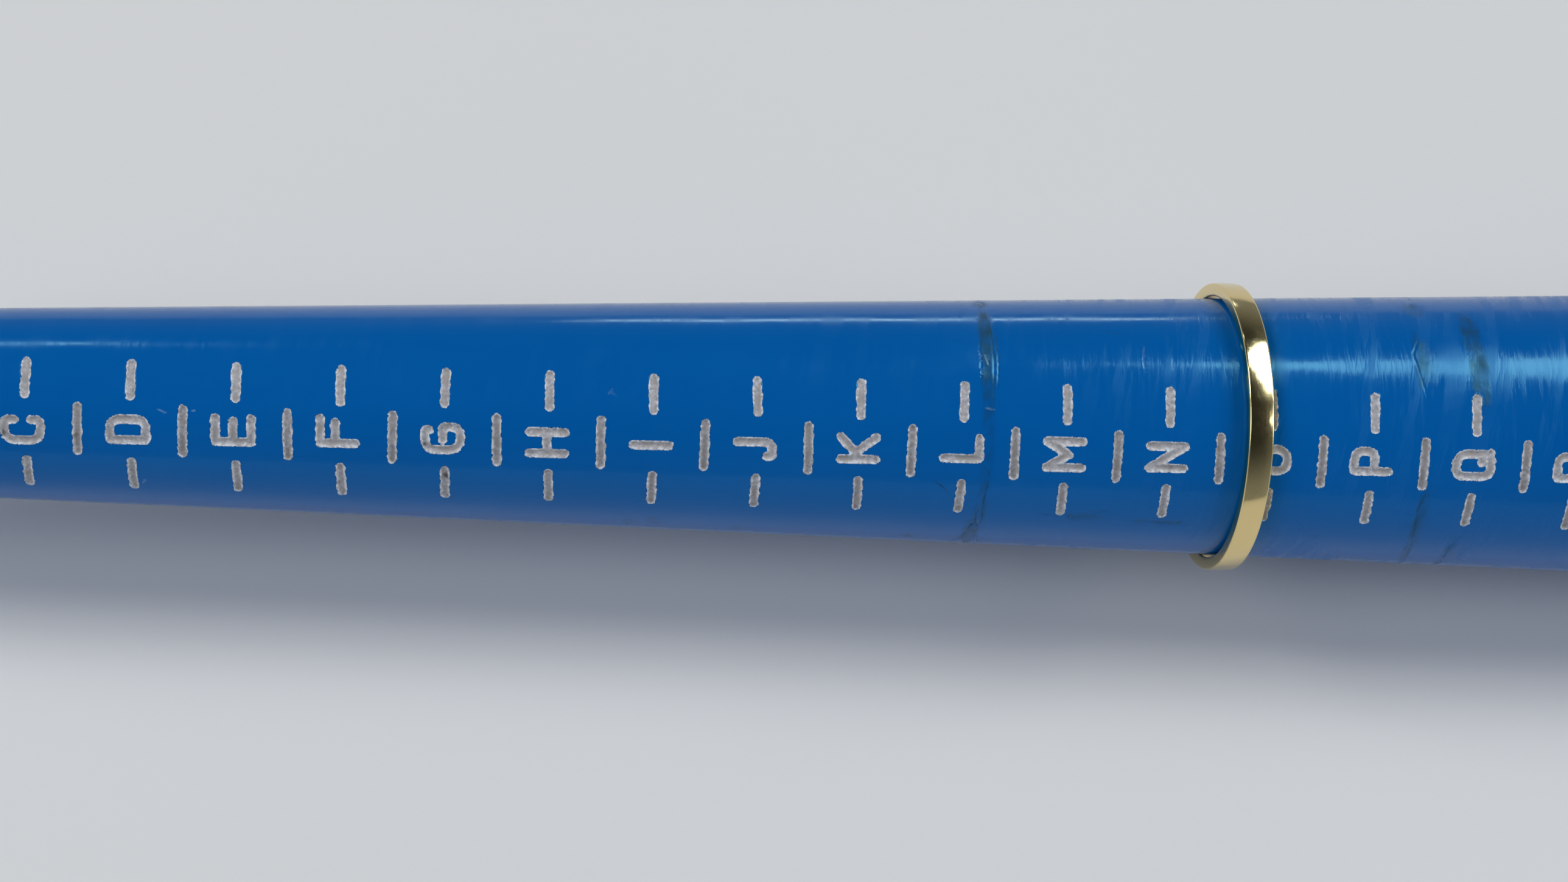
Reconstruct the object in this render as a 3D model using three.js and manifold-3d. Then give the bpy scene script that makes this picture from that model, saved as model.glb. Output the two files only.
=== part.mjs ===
// A jeweller's ring mandrel, or ring stick, with a plain gold band on it.
//
// A hollow plastic gauge tapers so that its circumference grows by a fixed amount for each ring
// size. A through bolt pulls its shoulder onto an eight-sided collar and an eight-sided grip, whose
// flats stop the tool from rolling. The band slides off over the nose.
//
// Millimetres. +X runs along the mandrel from the nose to the butt, +Z is up, and the origin is on
// the surface that the mandrel lies on, below the middle of its length.
import * as THREE from "three";
import { mergeVertices } from "three/addons/utils/BufferGeometryUtils.js";
import Module from "manifold-3d";

const wasm = await Module();
wasm.setup();

// The size scale: sizes A to Z, each one step along the gauge and one step round it.
const SIZES = 26;
const SIZE_PITCH = 6.7;
const FIRST_CIRCUMFERENCE = 37.5;
const CIRCUMFERENCE_STEP = 1.25;

// Stations along the mandrel, measured from the nose.
const NOSE_CAP_END = 4;
const FIRST_SIZE_AT = 10;
const LAST_SIZE_AT = FIRST_SIZE_AT + (SIZES - 1) * SIZE_PITCH;
const GAUGE_END = LAST_SIZE_AT + 8.5;
const COLLAR_END = GAUGE_END + 11;
const GRIP_END = COLLAR_END + 92;
const TOTAL_LENGTH = GRIP_END + 5;

// Fits: touching faces keep a small gap, and so does a shaft in its hole.
const FACE_GAP = 0.05;
const HOLE_GAP = 0.06;

// The eight-sided section that the collar and the grip share. Its corners are turned down.
const ACROSS_FLATS = 30;
const CORNER_RADIUS = 15.9;
const AXIS_HEIGHT = ACROSS_FLATS / 2;

// The gauge: its nose, its hollow and the tail that runs through the collar into the grip.
const NOSE_FLAT = 2.2;
const NOSE_BORE = 2.6;
const STEM_END = NOSE_CAP_END + 10;
const GAUGE_WALL = 3.2;
const TAIL_RADIUS = 8.6;
const TAIL_END = COLLAR_END + 8;

// The threaded insert in the tail, and the pin that locks it and the collar to the gauge.
const INSERT_RADIUS = 6;
const INSERT_START = GAUGE_END - 13;
const PIN_RADIUS = 1.5;
const PIN_AT = (GAUGE_END + COLLAR_END) / 2;
const PIN_LENGTH = ACROSS_FLATS - 0.4;

// The through bolt, with its nut and washer at the bottom of a well in the grip's butt.
const BOLT_RADIUS = 3;
const BOLT_START = PIN_AT + PIN_RADIUS + 1.5;
const WELL_RADIUS = 9;
const WELL_FLOOR = GRIP_END - 20;
const WASHER_RADIUS = 8;
const WASHER_START = WELL_FLOOR + FACE_GAP;
const WASHER_END = WASHER_START + 1.6;
const NUT_FLATS = 10;
const NUT_START = WASHER_END + FACE_GAP;
const NUT_END = NUT_START + 5;
const BOLT_END = NUT_END + 2.5;

// The grip's end rounds and grooves, and the butt cap.
const GRIP_FACE_RADIUS = 14;
const GRIP_ROUND = 5;
const GROOVES = 5;
const GROOVE_PITCH = 12;
const GROOVE_WIDTH = 3.2;
const GROOVE_FLOOR = 13.9;
const CAP_FACE_RADIUS = 8;
const CAP_STEM_START = GRIP_END - 8;

// The band: where its middle sits, its section, and how far it leans on the taper.
const BAND_AT = FIRST_SIZE_AT + 13.755 * SIZE_PITCH;
const BAND_WIDTH = 1.66;
const BAND_OUTER = 9.76;
const BAND_CROWN = 0.08;
const BAND_EDGE = 0.22;
const BAND_LEAN = THREE.MathUtils.degToRad(4.3);
const BAND_LEAN_ELEVATION = THREE.MathUtils.degToRad(59.4);
const BAND_GAP = 0.03;

// Facets round each turned piece. One count for all keeps the facets of mating pieces in line.
const ROUND = 72;
const PIN_ROUND = 24;
const CORNER_STEPS = 6;

const material = (color, roughness, metalness) =>
  new THREE.MeshStandardMaterial({ color, roughness, metalness });
const gaugeBlue = material(0x0a5aa8, 0.3, 0);
const gripBlue = material(0x0b4f95, 0.5, 0);
const aluminium = material(0xc2c5c9, 0.35, 1);
const steel = material(0x9a9ea3, 0.4, 1);
const brass = material(0xb5904a, 0.4, 1);
const gold = material(0xd6bb6e, 0.2, 1);

// The gauge's radius at a station.
function radiusAt(station) {
  const sizes = (station - FIRST_SIZE_AT) / SIZE_PITCH;
  return (FIRST_CIRCUMFERENCE + CIRCUMFERENCE_STEP * sizes) / (2 * Math.PI);
}

// A solid of revolution about the mandrel's axis, from [radius, station] pairs round its section.
function turned(profile) {
  const points = profile.map(([radius, station]) => new THREE.Vector2(radius, station));
  return new THREE.LatheGeometry(points, ROUND, Math.PI / ROUND).rotateZ(-Math.PI / 2);
}

// A quarter of an ellipse in the section, from one angle to another about [radius, station].
function corner([radius, station], [across, along], from, to) {
  const points = [];
  for (let i = 0; i <= CORNER_STEPS; i++) {
    const angle = THREE.MathUtils.degToRad(THREE.MathUtils.lerp(from, to, i / CORNER_STEPS));
    points.push([radius + across * Math.cos(angle), station + along * Math.sin(angle)]);
  }
  return points;
}

// A bar of regular section along the mandrel, with one of its sides facing down.
function flatSided(sides, acrossFlats, from, to) {
  const circumradius = acrossFlats / 2 / Math.cos(Math.PI / sides);
  return new THREE.CylinderGeometry(circumradius, circumradius, to - from, sides)
    .rotateY(Math.PI / sides)
    .rotateZ(-Math.PI / 2)
    .translate((from + to) / 2, 0, 0);
}

// The upright pin, or the hole for it when a gap is given.
function uprightPin(length, gap = 0) {
  return new THREE.CylinderGeometry(PIN_RADIUS + gap, PIN_RADIUS + gap, length, PIN_ROUND)
    .rotateX(Math.PI / 2)
    .translate(PIN_AT, 0, 0);
}

// A closed geometry as a manifold-3d solid, and a solid as a geometry.
function solidOf(geometry) {
  const bare = geometry.clone();
  bare.deleteAttribute("normal");
  bare.deleteAttribute("uv");
  const merged = mergeVertices(bare, 1e-4);
  const vertProperties = new Float32Array(merged.attributes.position.array);
  const triVerts = new Uint32Array(merged.index.array);
  return new wasm.Manifold(new wasm.Mesh({ numProp: 3, vertProperties, triVerts }));
}

function geometryOf(solid) {
  const mesh = solid.getMesh();
  const geometry = new THREE.BufferGeometry();
  geometry.setAttribute("position", new THREE.BufferAttribute(mesh.vertProperties, 3));
  geometry.setIndex(new THREE.BufferAttribute(mesh.triVerts, 1));
  geometry.computeVertexNormals();
  return geometry;
}

const pinHole = solidOf(uprightPin(2 * ACROSS_FLATS, HOLE_GAP));
const drilledForPin = (geometry) => geometryOf(solidOf(geometry).subtract(pinHole));

// The rounded plug that closes the small end of the gauge.
function noseCap() {
  const back = NOSE_CAP_END - FACE_GAP;
  const stem = NOSE_BORE - HOLE_GAP;
  return turned([
    [0, 0],
    ...corner([NOSE_FLAT, back], [radiusAt(back) - NOSE_FLAT, back], -90, 0),
    [stem, back],
    [stem, STEM_END],
    [0, STEM_END],
  ]);
}

// The tapered, hollow gauge with its tail.
function gaugeTube() {
  const hollowEnd = INSERT_START - FACE_GAP;
  return drilledForPin(
    turned([
      [NOSE_BORE, NOSE_CAP_END],
      [radiusAt(NOSE_CAP_END), NOSE_CAP_END],
      [radiusAt(GAUGE_END), GAUGE_END],
      [TAIL_RADIUS, GAUGE_END],
      [TAIL_RADIUS, TAIL_END],
      [INSERT_RADIUS, TAIL_END],
      [INSERT_RADIUS, hollowEnd],
      [radiusAt(hollowEnd) - GAUGE_WALL, hollowEnd],
      [NOSE_BORE, STEM_END],
      [NOSE_BORE, NOSE_CAP_END],
    ]),
  );
}

function threadedInsert() {
  const outer = INSERT_RADIUS - HOLE_GAP;
  const thread = BOLT_RADIUS + HOLE_GAP;
  const threadStart = BOLT_START - FACE_GAP;
  return drilledForPin(
    turned([
      [0, INSERT_START],
      [outer, INSERT_START],
      [outer, TAIL_END],
      [thread, TAIL_END],
      [thread, threadStart],
      [0, threadStart],
    ]),
  );
}

// The eight-sided bolster between the gauge and the grip.
function antiRollCollar() {
  const bore = TAIL_RADIUS + HOLE_GAP;
  const front = GAUGE_END + FACE_GAP;
  const bevel = 1.5;
  const ring = turned([
    [bore, front],
    [CORNER_RADIUS - bevel, front],
    [CORNER_RADIUS, front + bevel],
    [CORNER_RADIUS, COLLAR_END - bevel],
    [CORNER_RADIUS - bevel, COLLAR_END],
    [bore, COLLAR_END],
    [bore, front],
  ]);
  const bar = flatSided(8, ACROSS_FLATS, GAUGE_END - 1, COLLAR_END + 1);
  return geometryOf(solidOf(ring).intersect(solidOf(bar)).subtract(pinHole));
}

// Points of the grip's outside: rounded ends, and grooves that run right round it.
function gripOutline() {
  const front = COLLAR_END + FACE_GAP;
  const round = [CORNER_RADIUS - GRIP_FACE_RADIUS, GRIP_ROUND];
  const outline = corner([GRIP_FACE_RADIUS, front + GRIP_ROUND], round, -90, 0);
  const middle = (COLLAR_END + GRIP_END) / 2;
  for (let i = 0; i < GROOVES; i++) {
    const at = middle + (i - (GROOVES - 1) / 2) * GROOVE_PITCH;
    for (const [radius, along] of [
      [CORNER_RADIUS, -0.5],
      [GROOVE_FLOOR, -0.2],
      [GROOVE_FLOOR, 0.2],
      [CORNER_RADIUS, 0.5],
    ])
      outline.push([radius, at + along * GROOVE_WIDTH]);
  }
  outline.push(...corner([GRIP_FACE_RADIUS, GRIP_END - GRIP_ROUND], round, 0, 90));
  return outline;
}

function gripHandle() {
  const front = COLLAR_END + FACE_GAP;
  const socket = TAIL_RADIUS + HOLE_GAP;
  const socketEnd = TAIL_END + FACE_GAP;
  const bore = BOLT_RADIUS + 0.3;
  const blank = turned([
    ...gripOutline(),
    [WELL_RADIUS, GRIP_END],
    [WELL_RADIUS, WELL_FLOOR],
    [bore, WELL_FLOOR],
    [bore, socketEnd],
    [socket, socketEnd],
    [socket, front],
    gripOutline()[0],
  ]);
  const bar = flatSided(8, ACROSS_FLATS, COLLAR_END - 1, GRIP_END + 1);
  return geometryOf(solidOf(blank).intersect(solidOf(bar)));
}

function throughBolt() {
  return turned([
    [0, BOLT_START],
    [BOLT_RADIUS, BOLT_START],
    [BOLT_RADIUS, BOLT_END - 0.8],
    [BOLT_RADIUS - 0.8, BOLT_END],
    [0, BOLT_END],
  ]);
}

function washer() {
  const hole = BOLT_RADIUS + 0.2;
  return turned([
    [hole, WASHER_START],
    [WASHER_RADIUS, WASHER_START],
    [WASHER_RADIUS, WASHER_END],
    [hole, WASHER_END],
    [hole, WASHER_START],
  ]);
}

function hexNut() {
  const hole = turned([
    [0, NUT_START - 1],
    [BOLT_RADIUS + HOLE_GAP, NUT_START - 1],
    [BOLT_RADIUS + HOLE_GAP, NUT_END + 1],
    [0, NUT_END + 1],
  ]);
  const bar = flatSided(6, NUT_FLATS, NUT_START, NUT_END);
  return geometryOf(solidOf(bar).subtract(solidOf(hole)));
}

// The domed plug that covers the nut's well.
function buttCap() {
  const stem = WELL_RADIUS - HOLE_GAP;
  const face = GRIP_END + FACE_GAP;
  const rim = GRIP_FACE_RADIUS - 1;
  const dome = [rim - CAP_FACE_RADIUS, TOTAL_LENGTH - face];
  return turned([
    [0, CAP_STEM_START],
    [stem, CAP_STEM_START],
    [stem, face],
    ...corner([CAP_FACE_RADIUS, face], dome, 0, 90),
    [0, TOTAL_LENGTH],
  ]);
}

// The band about its own middle. Its bore clears the taper where the leaning band comes closest.
function goldBand() {
  const half = BAND_WIDTH / 2;
  const nearest = radiusAt(BAND_AT + half + BAND_OUTER * Math.sin(BAND_LEAN));
  const bore = (nearest + half * Math.tan(BAND_LEAN)) / Math.cos(BAND_LEAN) + BAND_GAP;
  const shoulder = BAND_OUTER - BAND_CROWN;
  const inner = bore + BAND_EDGE / 2;
  return turned([
    [bore, half - BAND_EDGE],
    [bore, BAND_EDGE - half],
    [inner, -half],
    [shoulder - BAND_EDGE, -half],
    [shoulder, BAND_EDGE - half],
    [BAND_OUTER, 0],
    [shoulder, half - BAND_EDGE],
    [shoulder - BAND_EDGE, half],
    [inner, half],
    [bore, half - BAND_EDGE],
  ]);
}

function place(name, geometry, finish) {
  const mesh = new THREE.Mesh(geometry, finish);
  mesh.name = name;
  mandrel.add(mesh);
  return mesh;
}

const mandrel = new THREE.Group();
mandrel.position.set(-TOTAL_LENGTH / 2, 0, AXIS_HEIGHT);
place("nose_cap", noseCap(), gaugeBlue);
place("gauge_tube", gaugeTube(), gaugeBlue);
place("threaded_insert", threadedInsert(), brass);
place("locking_pin", uprightPin(PIN_LENGTH), steel);
place("anti_roll_collar", antiRollCollar(), aluminium);
place("grip_handle", gripHandle(), gripBlue);
place("through_bolt", throughBolt(), steel);
place("bolt_washer", washer(), steel);
place("bolt_nut", hexNut(), steel);
place("butt_cap", buttCap(), gripBlue);

const leanAxis = new THREE.Vector3(0, Math.sin(BAND_LEAN_ELEVATION), Math.cos(BAND_LEAN_ELEVATION));
const band = place("gold_band", goldBand(), gold);
band.quaternion.setFromAxisAngle(leanAxis, BAND_LEAN);
band.position.set(BAND_AT, 0, 0);

export default mandrel;
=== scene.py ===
"""A jeweller's ring mandrel with a plain gold band on it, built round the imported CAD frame.

The gauge's outside is one fine skin with its size marks engraved in it, and the paint in the marks is made
of separate pieces. The nose cap, collar, grip, butt cap, band and fasteners are turned or cut finely in the
places that their CAD nodes hold. Lengths are in millimetres until a mesh is made, which is in metres.

A place on the gauge is given as a station along it from the nose, and as an arc round it from the line
that the size marks stand on. The arc grows towards the front and down.
"""

import math
import random

import bpy
import numpy as np
from mathutils import Matrix, Vector, geometry, noise


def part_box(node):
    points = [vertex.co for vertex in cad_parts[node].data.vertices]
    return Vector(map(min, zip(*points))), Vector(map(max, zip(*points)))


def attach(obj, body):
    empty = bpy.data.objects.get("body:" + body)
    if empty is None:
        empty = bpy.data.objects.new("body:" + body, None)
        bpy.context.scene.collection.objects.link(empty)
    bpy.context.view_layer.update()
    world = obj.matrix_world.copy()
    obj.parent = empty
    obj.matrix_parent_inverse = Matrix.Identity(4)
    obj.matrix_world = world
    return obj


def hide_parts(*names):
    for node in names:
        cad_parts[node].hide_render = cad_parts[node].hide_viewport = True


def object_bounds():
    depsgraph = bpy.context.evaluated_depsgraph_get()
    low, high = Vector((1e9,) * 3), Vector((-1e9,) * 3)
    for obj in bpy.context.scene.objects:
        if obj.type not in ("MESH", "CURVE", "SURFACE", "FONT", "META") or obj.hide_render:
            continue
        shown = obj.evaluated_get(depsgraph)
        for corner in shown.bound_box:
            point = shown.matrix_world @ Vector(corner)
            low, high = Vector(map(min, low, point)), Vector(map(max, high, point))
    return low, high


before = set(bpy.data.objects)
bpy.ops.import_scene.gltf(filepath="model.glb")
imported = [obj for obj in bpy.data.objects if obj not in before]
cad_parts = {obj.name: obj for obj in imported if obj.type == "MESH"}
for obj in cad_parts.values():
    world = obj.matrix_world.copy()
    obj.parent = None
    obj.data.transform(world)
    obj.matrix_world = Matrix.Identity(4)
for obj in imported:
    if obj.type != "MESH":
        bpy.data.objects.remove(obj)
cad_low, cad_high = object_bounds()


# ---------------------------------------------------------------- sizes

MM = 0.001
ACROSS_FLATS = (cad_high.z - cad_low.z) / MM
AXIS_HEIGHT = ACROSS_FLATS / 2
NOSE_X = cad_low.x / MM


def station_of(x):
    return x - NOSE_X


def node_box(node):
    """A CAD node's lowest and highest corner, in millimetres."""
    low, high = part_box(node)
    return Vector(low) / MM, Vector(high) / MM


def box_stations(node):
    """The stations at which a CAD node starts and ends."""
    low, high = node_box(node)
    return station_of(low.x), station_of(high.x)


TUBE_START, TAIL_END = box_stations("gauge_tube")
COLLAR_START, COLLAR_END = box_stations("anti_roll_collar")
GRIP_START, GRIP_END = box_stations("grip_handle")
CAP_STEM_START, CAP_END = box_stations("butt_cap")
NOSE_STEM_END = box_stations("nose_cap")[1]
BAND_AT = sum(box_stations("gold_band")) / 2
PIN_AT = sum(box_stations("locking_pin")) / 2
INSERT_START = box_stations("threaded_insert")[0]
BOLT_START, BOLT_END = box_stations("through_bolt")
WASHER_START, WASHER_END = box_stations("bolt_washer")
NUT_START, NUT_END = box_stations("bolt_nut")

# Gaps between faces that meet, and round what goes into a bore.
FACE_GAP = 0.05
FIT_GAP = 0.06
GAUGE_END = COLLAR_START - FACE_GAP

# Radii of the gauge's tail and of the bores, and the thickness of its wall.
TAIL_RADIUS = 8.6
INSERT_RADIUS = 6.0
NOSE_BORE = 2.6
GAUGE_WALL = 3.2

# The handle: the radii of its corners and bores, and the nut's width across flats.
HANDLE_CORNER = 15.9
PIN_HOLE = 1.56
BOLT_HOLE = 3.3
THREAD_HOLE = 3.06
WELL_RADIUS = 9.0
NUT_ACROSS = 10.0

# The band: it leans by an angle towards a direction given by its elevation.
BAND_OUTER = 9.76
BAND_HALF_WIDTH = 0.83
BAND_LEAN = math.radians(4.3)
BAND_LEAN_ELEVATION = math.radians(59.4)

# The size scale: the same letters, steps and taper as the CAD's.
LETTERS = "ABCDEFGHIJKLMNOPQRSTUVWXYZ"
SIZE_PITCH = 6.7
FIRST_SIZE_AT = 10.0
FIRST_CIRCUMFERENCE = 37.5
CIRCUMFERENCE_STEP = 1.25
SCALE_ELEVATION = math.radians(45)
# The gauge's skin is made in cells, one for each size. The first starts here.
FIRST_CELL_AT = FIRST_SIZE_AT - 2.2

# The marks: stroke centre lines, round the gauge (arc) and along it (station).
LETTER_HEIGHT = 2.28
# A letter's middle stands this far along from its size's broken line.
LETTER_SHIFT = -0.12
# How far down from the scale line the engraver set some of the letters.
LETTER_DROP = {"C": 0.16, "D": -0.04, "E": -0.18, "F": -0.30, "H": 0.11, "I": 0.09, "J": 0.16, "K": -0.07,
               "L": -0.25, "P": -0.09}
UPPER_TICK = (-4.36, -2.22)
LOWER_TICK = (2.20, 4.38)
HALF_TICK = (-1.42, 1.52)
# How far a tick's ends may be off true, along the gauge and round it.
TICK_LEAN = 0.03
TICK_SLIP = 0.05

# Steps of the meshes: round the gauge's plain skin, along each of its cells, along a mark's outline,
# over spread grime, and round the finely turned pieces.
AROUND = 96
CELL_LINES = 6
POINT_STEP = 0.12
SMEAR_STEP = 0.2
FINE_ROUND = 360

# The camera and the floor, in metres, and the colours of the lights.
CAMERA_AT = Vector((-0.08710, -0.09906, 0.17949))
CAMERA_AIM = Vector((-0.07450, -0.00178, 0.01500))
CAMERA_ROLL = math.radians(7.43)
CAMERA_LENS = 65.64
FLOOR_SIZE = 1.6
KEY_TINT = (1.0, 0.99, 0.96)
FILL_TINT = (0.88, 0.93, 1.0)
WINDOW_TINT = (0.80, 0.93, 1.0)
ROOM_COLOUR = (0.80, 0.89, 1.0, 1.0)
# Reflections in the glossy blue plastic are cooler than what they show.
REFLECTION_TINT = (0.35, 0.95, 1.0, 1.0)

rng = random.Random(7)


def radius_at(station):
    """The gauge's radius at a station."""
    sizes = (station - FIRST_SIZE_AT) / SIZE_PITCH
    return (FIRST_CIRCUMFERENCE + CIRCUMFERENCE_STEP * sizes) / (2 * math.pi)


def place(station, angle, radius):
    """A point in metres. The angle is measured round the axis from the size marks, forward and down."""
    elevation = SCALE_ELEVATION - angle
    return Vector((
        (station + NOSE_X) * MM,
        -radius * math.cos(elevation) * MM,
        (AXIS_HEIGHT + radius * math.sin(elevation)) * MM,
    ))


def outward(angle, slope):
    """The unit normal of a turned surface whose radius grows by slope for each unit of station."""
    elevation = SCALE_ELEVATION - angle
    return Vector((-slope, -math.cos(elevation), math.sin(elevation))).normalized()


# ---------------------------------------------------------------- meshes

def new_piece(name, vertices, faces, slot, smooth_angle, stands_for=None, body="stick"):
    """A mesh piece with a slot's finish that rides on a body, smooth except over its sharp edges."""
    mesh = bpy.data.meshes.new(name)
    mesh.from_pydata([tuple(v) for v in vertices], [], faces)
    mesh.polygons.foreach_set("use_smooth", [True] * len(mesh.polygons))
    mesh.set_sharp_from_angle(angle=math.radians(smooth_angle))
    mesh.validate()
    mesh.update()
    mesh.materials.append(FINISHES[slot])
    piece = bpy.data.objects.new(name, mesh)
    bpy.context.scene.collection.objects.link(piece)
    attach(piece, body)
    if stands_for:
        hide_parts(stands_for)
    return piece


def ring_faces(rows, around, closed_along):
    """Quads between successive rings of vertices, wound to face out for a section that runs forward
    along the outside and back along the inside."""
    faces = []
    for row in range(rows if closed_along else rows - 1):
        here = row * around
        there = ((row + 1) % rows) * around
        for i in range(around):
            j = (i + 1) % around
            faces.append((here + i, here + j, there + j, there + i))
    return faces


def revolve(profile, around, limit=None):
    """Vertices and faces of a turned solid from [station, radius] pairs. A section that starts and ends
    on the axis is closed with fans, and any other closes on itself. limit(angle, radius) trims it."""
    on_axis = profile[0][1] == 0
    rings = profile[1:-1] if on_axis else profile
    vertices = []
    for station, radius in rings:
        for i in range(around):
            angle = 2 * math.pi * i / around
            trimmed = limit(angle, radius) if limit else radius
            vertices.append(place(station, angle, trimmed))
    faces = ring_faces(len(rings), around, not on_axis)
    if on_axis:
        first, last = len(vertices), len(vertices) + 1
        vertices.append(place(profile[0][0], 0, 0))
        vertices.append(place(profile[-1][0], 0, 0))
        top = (len(rings) - 1) * around
        for i in range(around):
            j = (i + 1) % around
            faces.append((first, j, i))
            faces.append((last, top + i, top + j))
    return vertices, faces


def arc(station, radius, along, across, start, end, steps):
    """Points of an ellipse's arc in the section. 0 degrees points outward and 90 to the butt."""
    points = []
    for i in range(steps + 1):
        angle = math.radians(start + (end - start) * i / steps)
        points.append((station + along * math.sin(angle), radius + across * math.cos(angle)))
    return points


def line(start, end, steps):
    """Points from start towards end, without the end."""
    points = []
    for i in range(steps):
        k = i / steps
        points.append((start[0] + (end[0] - start[0]) * k, start[1] + (end[1] - start[1]) * k))
    return points


def soft_min(a, b, blend):
    """The lower of two values, with a rounded change-over."""
    h = max(0.0, blend - abs(a - b)) / blend
    return min(a, b) - h * h * blend / 4


def eight_sided(angle, radius):
    """The radius of a turned section cut by eight flats, one of which faces down."""
    side = math.pi / 4
    off_flat = (angle + side / 2) % side - side / 2
    return soft_min(radius, ACROSS_FLATS / 2 / math.cos(off_flat), 0.25)


# ---------------------------------------------------------------- materials

class Nodes:
    """The nodes of a material or of the world, made and linked by short calls."""

    def __init__(self, owner):
        owner.use_nodes = True
        self.owner = owner
        self.tree = owner.node_tree

    def make(self, kind, settings=None, **inputs):
        node = self.tree.nodes.new(kind)
        for key, value in (settings or {}).items():
            setattr(node, key, value)
        for key, value in inputs.items():
            self.feed(node.inputs[key.replace("_", " ")], value)
        return node

    def feed(self, socket, value):
        if isinstance(value, bpy.types.NodeSocket):
            self.tree.links.new(value, socket)
        else:
            socket.default_value = value

    def math(self, operation, first, second=0.0, clamp=False):
        node = self.make("ShaderNodeMath", {"operation": operation, "use_clamp": clamp})
        self.feed(node.inputs[0], first)
        self.feed(node.inputs[1], second)
        return node.outputs[0]

    def noise(self, vector, scale, detail=3.0, roughness=0.55):
        """Noise at a scale that is one number, or one for each axis."""
        if isinstance(scale, tuple):
            vector = self.make("ShaderNodeMapping", Vector=vector, Scale=scale).outputs["Vector"]
            scale = 1.0
        node = self.make("ShaderNodeTexNoise", Vector=vector, Scale=scale, Detail=detail, Roughness=roughness)
        return node.outputs["Fac"]

    def ramp(self, factor, low, high, first=0.0, last=1.0, shape="LINEAR"):
        """first where the factor is at or under low, last where it is at or over high."""
        node = self.make("ShaderNodeMapRange", {"interpolation_type": shape}, Value=factor,
                         From_Min=low, From_Max=high, To_Min=first, To_Max=last)
        return node.outputs["Result"]

    def mix(self, factor, first, second):
        """Two colours mixed, by the mix node's colour sockets."""
        node = self.make("ShaderNodeMix", {"data_type": "RGBA"}, Factor=factor)
        self.feed(node.inputs[6], first)
        self.feed(node.inputs[7], second)
        return node.outputs[2]

    def stain(self, base, where, amount, red_green_blue):
        """The base colour, tinted by an amount where there is a stain."""
        return self.mix(self.math("MULTIPLY", where, amount), base, colour(*red_green_blue))

    def object_place(self):
        return self.make("ShaderNodeTexCoord").outputs["Object"]

    def unrolled(self):
        """Coordinates in metres along the mandrel's axis and round it, at a radius of 9 mm."""
        split = self.make("ShaderNodeSeparateXYZ", Vector=self.object_place())
        height = self.math("SUBTRACT", split.outputs["Z"], AXIS_HEIGHT * MM)
        angle = self.math("ARCTAN2", split.outputs["Y"], height)
        around = self.math("MULTIPLY", angle, 9 * MM)
        joined = self.make("ShaderNodeCombineXYZ", X=split.outputs["X"], Y=around)
        return joined.outputs["Vector"]

    def attribute(self, name):
        return self.make("ShaderNodeAttribute", {"attribute_name": name}).outputs["Fac"]

    def bump(self, height, strength, distance, normal=None):
        node = self.make("ShaderNodeBump", Height=height, Strength=strength, Distance=distance)
        if normal:
            self.feed(node.inputs["Normal"], normal)
        return node.outputs["Normal"]

    def finish(self, **inputs):
        shader = self.tree.nodes["Principled BSDF"]
        for key, value in inputs.items():
            self.feed(shader.inputs[key.replace("_", " ")], value)
        return self.owner


def new_material(name):
    return Nodes(bpy.data.materials.new(name))


def colour(red, green, blue):
    return (red, green, blue, 1.0)


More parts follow.
